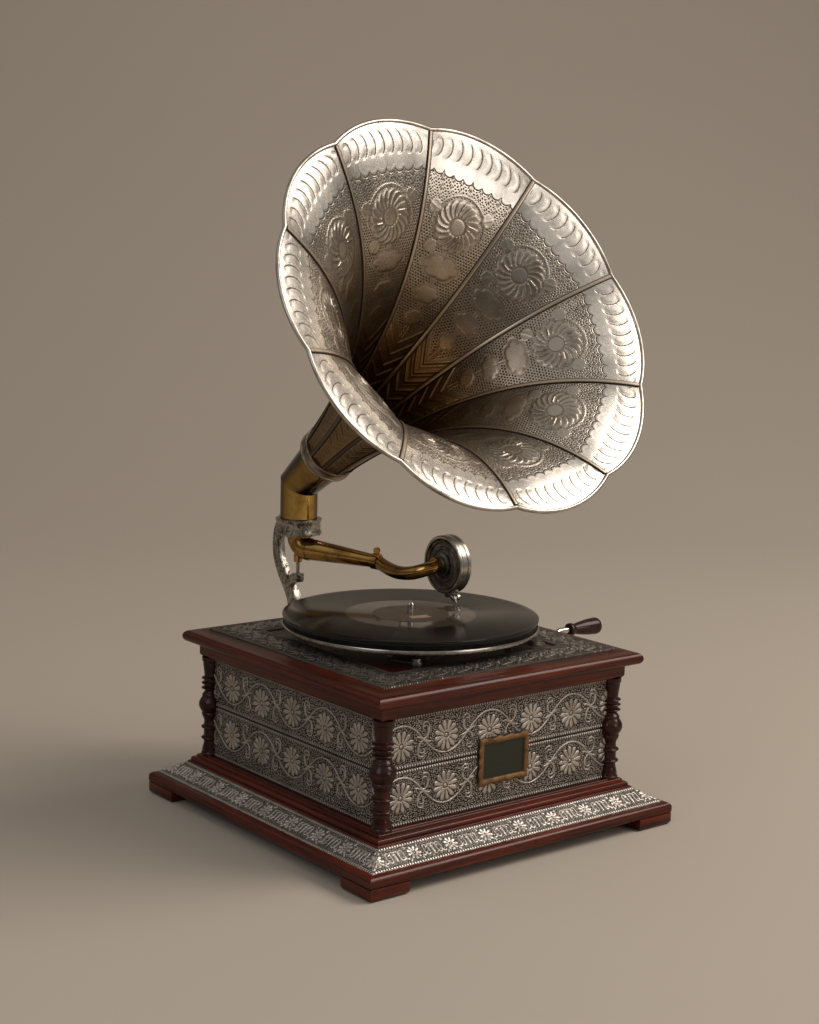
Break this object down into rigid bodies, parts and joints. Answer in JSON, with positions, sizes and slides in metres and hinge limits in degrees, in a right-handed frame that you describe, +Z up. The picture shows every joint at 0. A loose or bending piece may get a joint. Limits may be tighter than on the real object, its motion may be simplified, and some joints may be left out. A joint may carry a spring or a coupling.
{
  "type": "table gramophone",
  "caption": "Table gramophone with a flared petal horn, tone arm and sound box over a wind-up turntable in a square panelled cabinet.",
  "frame": {"origin": "on the floor under the middle of the cabinet, on the axis of the turntable", "axes": "+X right as seen from the front, on the crank side; the front panel faces -Y; +Z up"},
  "size_m": [0.4714, 0.4317, 0.679],
  "materials": {
    "mahogany": "polished dark red mahogany",
    "dark_wood": "dark stained wood",
    "grip_wood": "turned dark wood, polished",
    "white_metal": "embossed white metal, darkened in the hollows",
    "horn_metal": "embossed white metal with a warm brown patina",
    "aged_brass": "aged brass",
    "nickel": "worn nickel plate",
    "steel": "bright steel",
    "gear_brass": "cut brass",
    "fibre": "pressed fibre",
    "felt": "dark felt",
    "shellac": "grooved black shellac",
    "label_paper": "plain worn paper label",
    "leather": "brake leather",
    "mica": "mica"
  },
  "bodies": {
    "cabinet": {"base_board": "mahogany", "feet": "mahogany", "base_cladding": "white_metal", "step_moulding": "mahogany", "front_wall": "dark_wood", "back_wall": "dark_wood", "left_wall": "dark_wood", "right_wall": "dark_wood", "corner_posts": "dark_wood", "front_cladding": "white_metal", "back_cladding": "white_metal", "left_cladding": "white_metal", "right_cladding": "white_metal", "corner_columns": "mahogany", "frieze_moulding": "mahogany", "top_board": "mahogany", "top_cladding": "white_metal", "motor_board": "dark_wood", "front_plate": "aged_brass", "crank_escutcheon": "aged_brass", "motor_top_plate": "steel", "motor_bottom_plate": "steel", "motor_pillars": "steel", "motor_bolts": "nickel", "back_bracket": "nickel", "bracket_screws": "nickel", "pivot_pin": "steel"},
    "turntable": {"spindle": "nickel", "governor_wheel": "fibre", "platter": "nickel", "felt_mat": "felt", "record": "shellac", "record_label": "label_paper"},
    "barrel": {"spring_barrel": "gear_brass", "mainspring": "steel"},
    "winding": {"winding_wheel": "gear_brass"},
    "intermediate": {"intermediate_gear": "gear_brass"},
    "governor": {"governor_shaft": "steel", "governor_weights": "gear_brass", "governor_springs": "steel", "governor_disc": "gear_brass"},
    "crank": {"crank_shaft": "steel", "crank_arm": "nickel"},
    "grip": {"crank_grip": "grip_wood"},
    "brake": {"brake_lever": "nickel", "brake_pad": "leather"},
    "regulator": {"speed_lever": "nickel"},
    "horn": {"horn_elbow": "aged_brass", "horn_tail_ring": "horn_metal", "horn_petals": "horn_metal", "horn_seams": "horn_metal", "horn_rim_wire": "horn_metal"},
    "tone_arm": {"tone_arm": "aged_brass"},
    "gooseneck": {"gooseneck": "aged_brass", "soundbox_case": "nickel", "soundbox_bezel": "nickel", "diaphragm": "mica", "needle_bar": "nickel", "needle": "steel"},
    "thumb_screw": {"needle_screw": "nickel"}
  },
  "joints": [
    {"name": "turntable_spin", "type": "hinge", "parent": "cabinet", "child": "turntable", "pos_m": [0, 0, 0.19], "axis": [0, 0, 1], "continuous": true},
    {"name": "barrel_spin", "type": "hinge", "parent": "cabinet", "child": "barrel", "pos_m": [0.08148, 0.00458, 0.115], "axis": [0, 0, 1], "continuous": true},
    {"name": "intermediate_spin", "type": "hinge", "parent": "cabinet", "child": "intermediate", "pos_m": [0.03637, 0.021, 0.13], "axis": [0, 0, 1], "continuous": true},
    {"name": "governor_spin", "type": "hinge", "parent": "cabinet", "child": "governor", "pos_m": [-0.0297, -0.0297, 0.12], "axis": [0, 0, 1], "continuous": true},
    {"name": "crank_turn", "type": "hinge", "parent": "cabinet", "child": "crank", "pos_m": [0.16, -0.01742, 0.088], "axis": [1, 0, 0], "continuous": true},
    {"name": "winding_turn", "type": "hinge", "parent": "cabinet", "child": "winding", "pos_m": [0.08148, 0.00458, 0.088], "axis": [0, 0, 1], "continuous": true},
    {"name": "grip_spin", "type": "hinge", "parent": "crank", "child": "grip", "pos_m": [0.23, -0.005, 0.15892], "axis": [1, 0, 0], "continuous": true},
    {"name": "brake_swing", "type": "hinge", "parent": "cabinet", "child": "brake", "pos_m": [0.06, -0.081, 0.178], "axis": [0, 0, 1], "range_deg": [-12, 10]},
    {"name": "regulator_swing", "type": "hinge", "parent": "cabinet", "child": "regulator", "pos_m": [-0.065, -0.091, 0.178], "axis": [0, 0, 1], "range_deg": [0, 18]},
    {"name": "horn_turn", "type": "hinge", "parent": "cabinet", "child": "horn", "pos_m": [0, 0.195, 0.265], "axis": [0, 0, 1], "continuous": true},
    {"name": "tone_arm_swing", "type": "hinge", "parent": "cabinet", "child": "tone_arm", "pos_m": [0, 0.195, 0.236], "axis": [0, 0, 1], "range_deg": [-7, 29]},
    {"name": "gooseneck_lift", "type": "hinge", "parent": "tone_arm", "child": "gooseneck", "pos_m": [0.03322, 0.10568, 0.23311], "axis": [0.3483, -0.9365, -0.0419], "range_deg": [0, 60]},
    {"name": "needle_screw_turn", "type": "hinge", "parent": "gooseneck", "child": "thumb_screw", "pos_m": [0.072, 0.01486, 0.2062], "axis": [1, 0, 0], "continuous": true}
  ],
  "couplings": [
    {"joint": "intermediate_spin", "follows": "turntable_spin", "ratio": -0.16667},
    {"joint": "barrel_spin", "follows": "turntable_spin", "ratio": 0.02381},
    {"joint": "governor_spin", "follows": "turntable_spin", "ratio": -6},
    {"joint": "winding_turn", "follows": "crank_turn", "ratio": -0.03125}
  ]
}
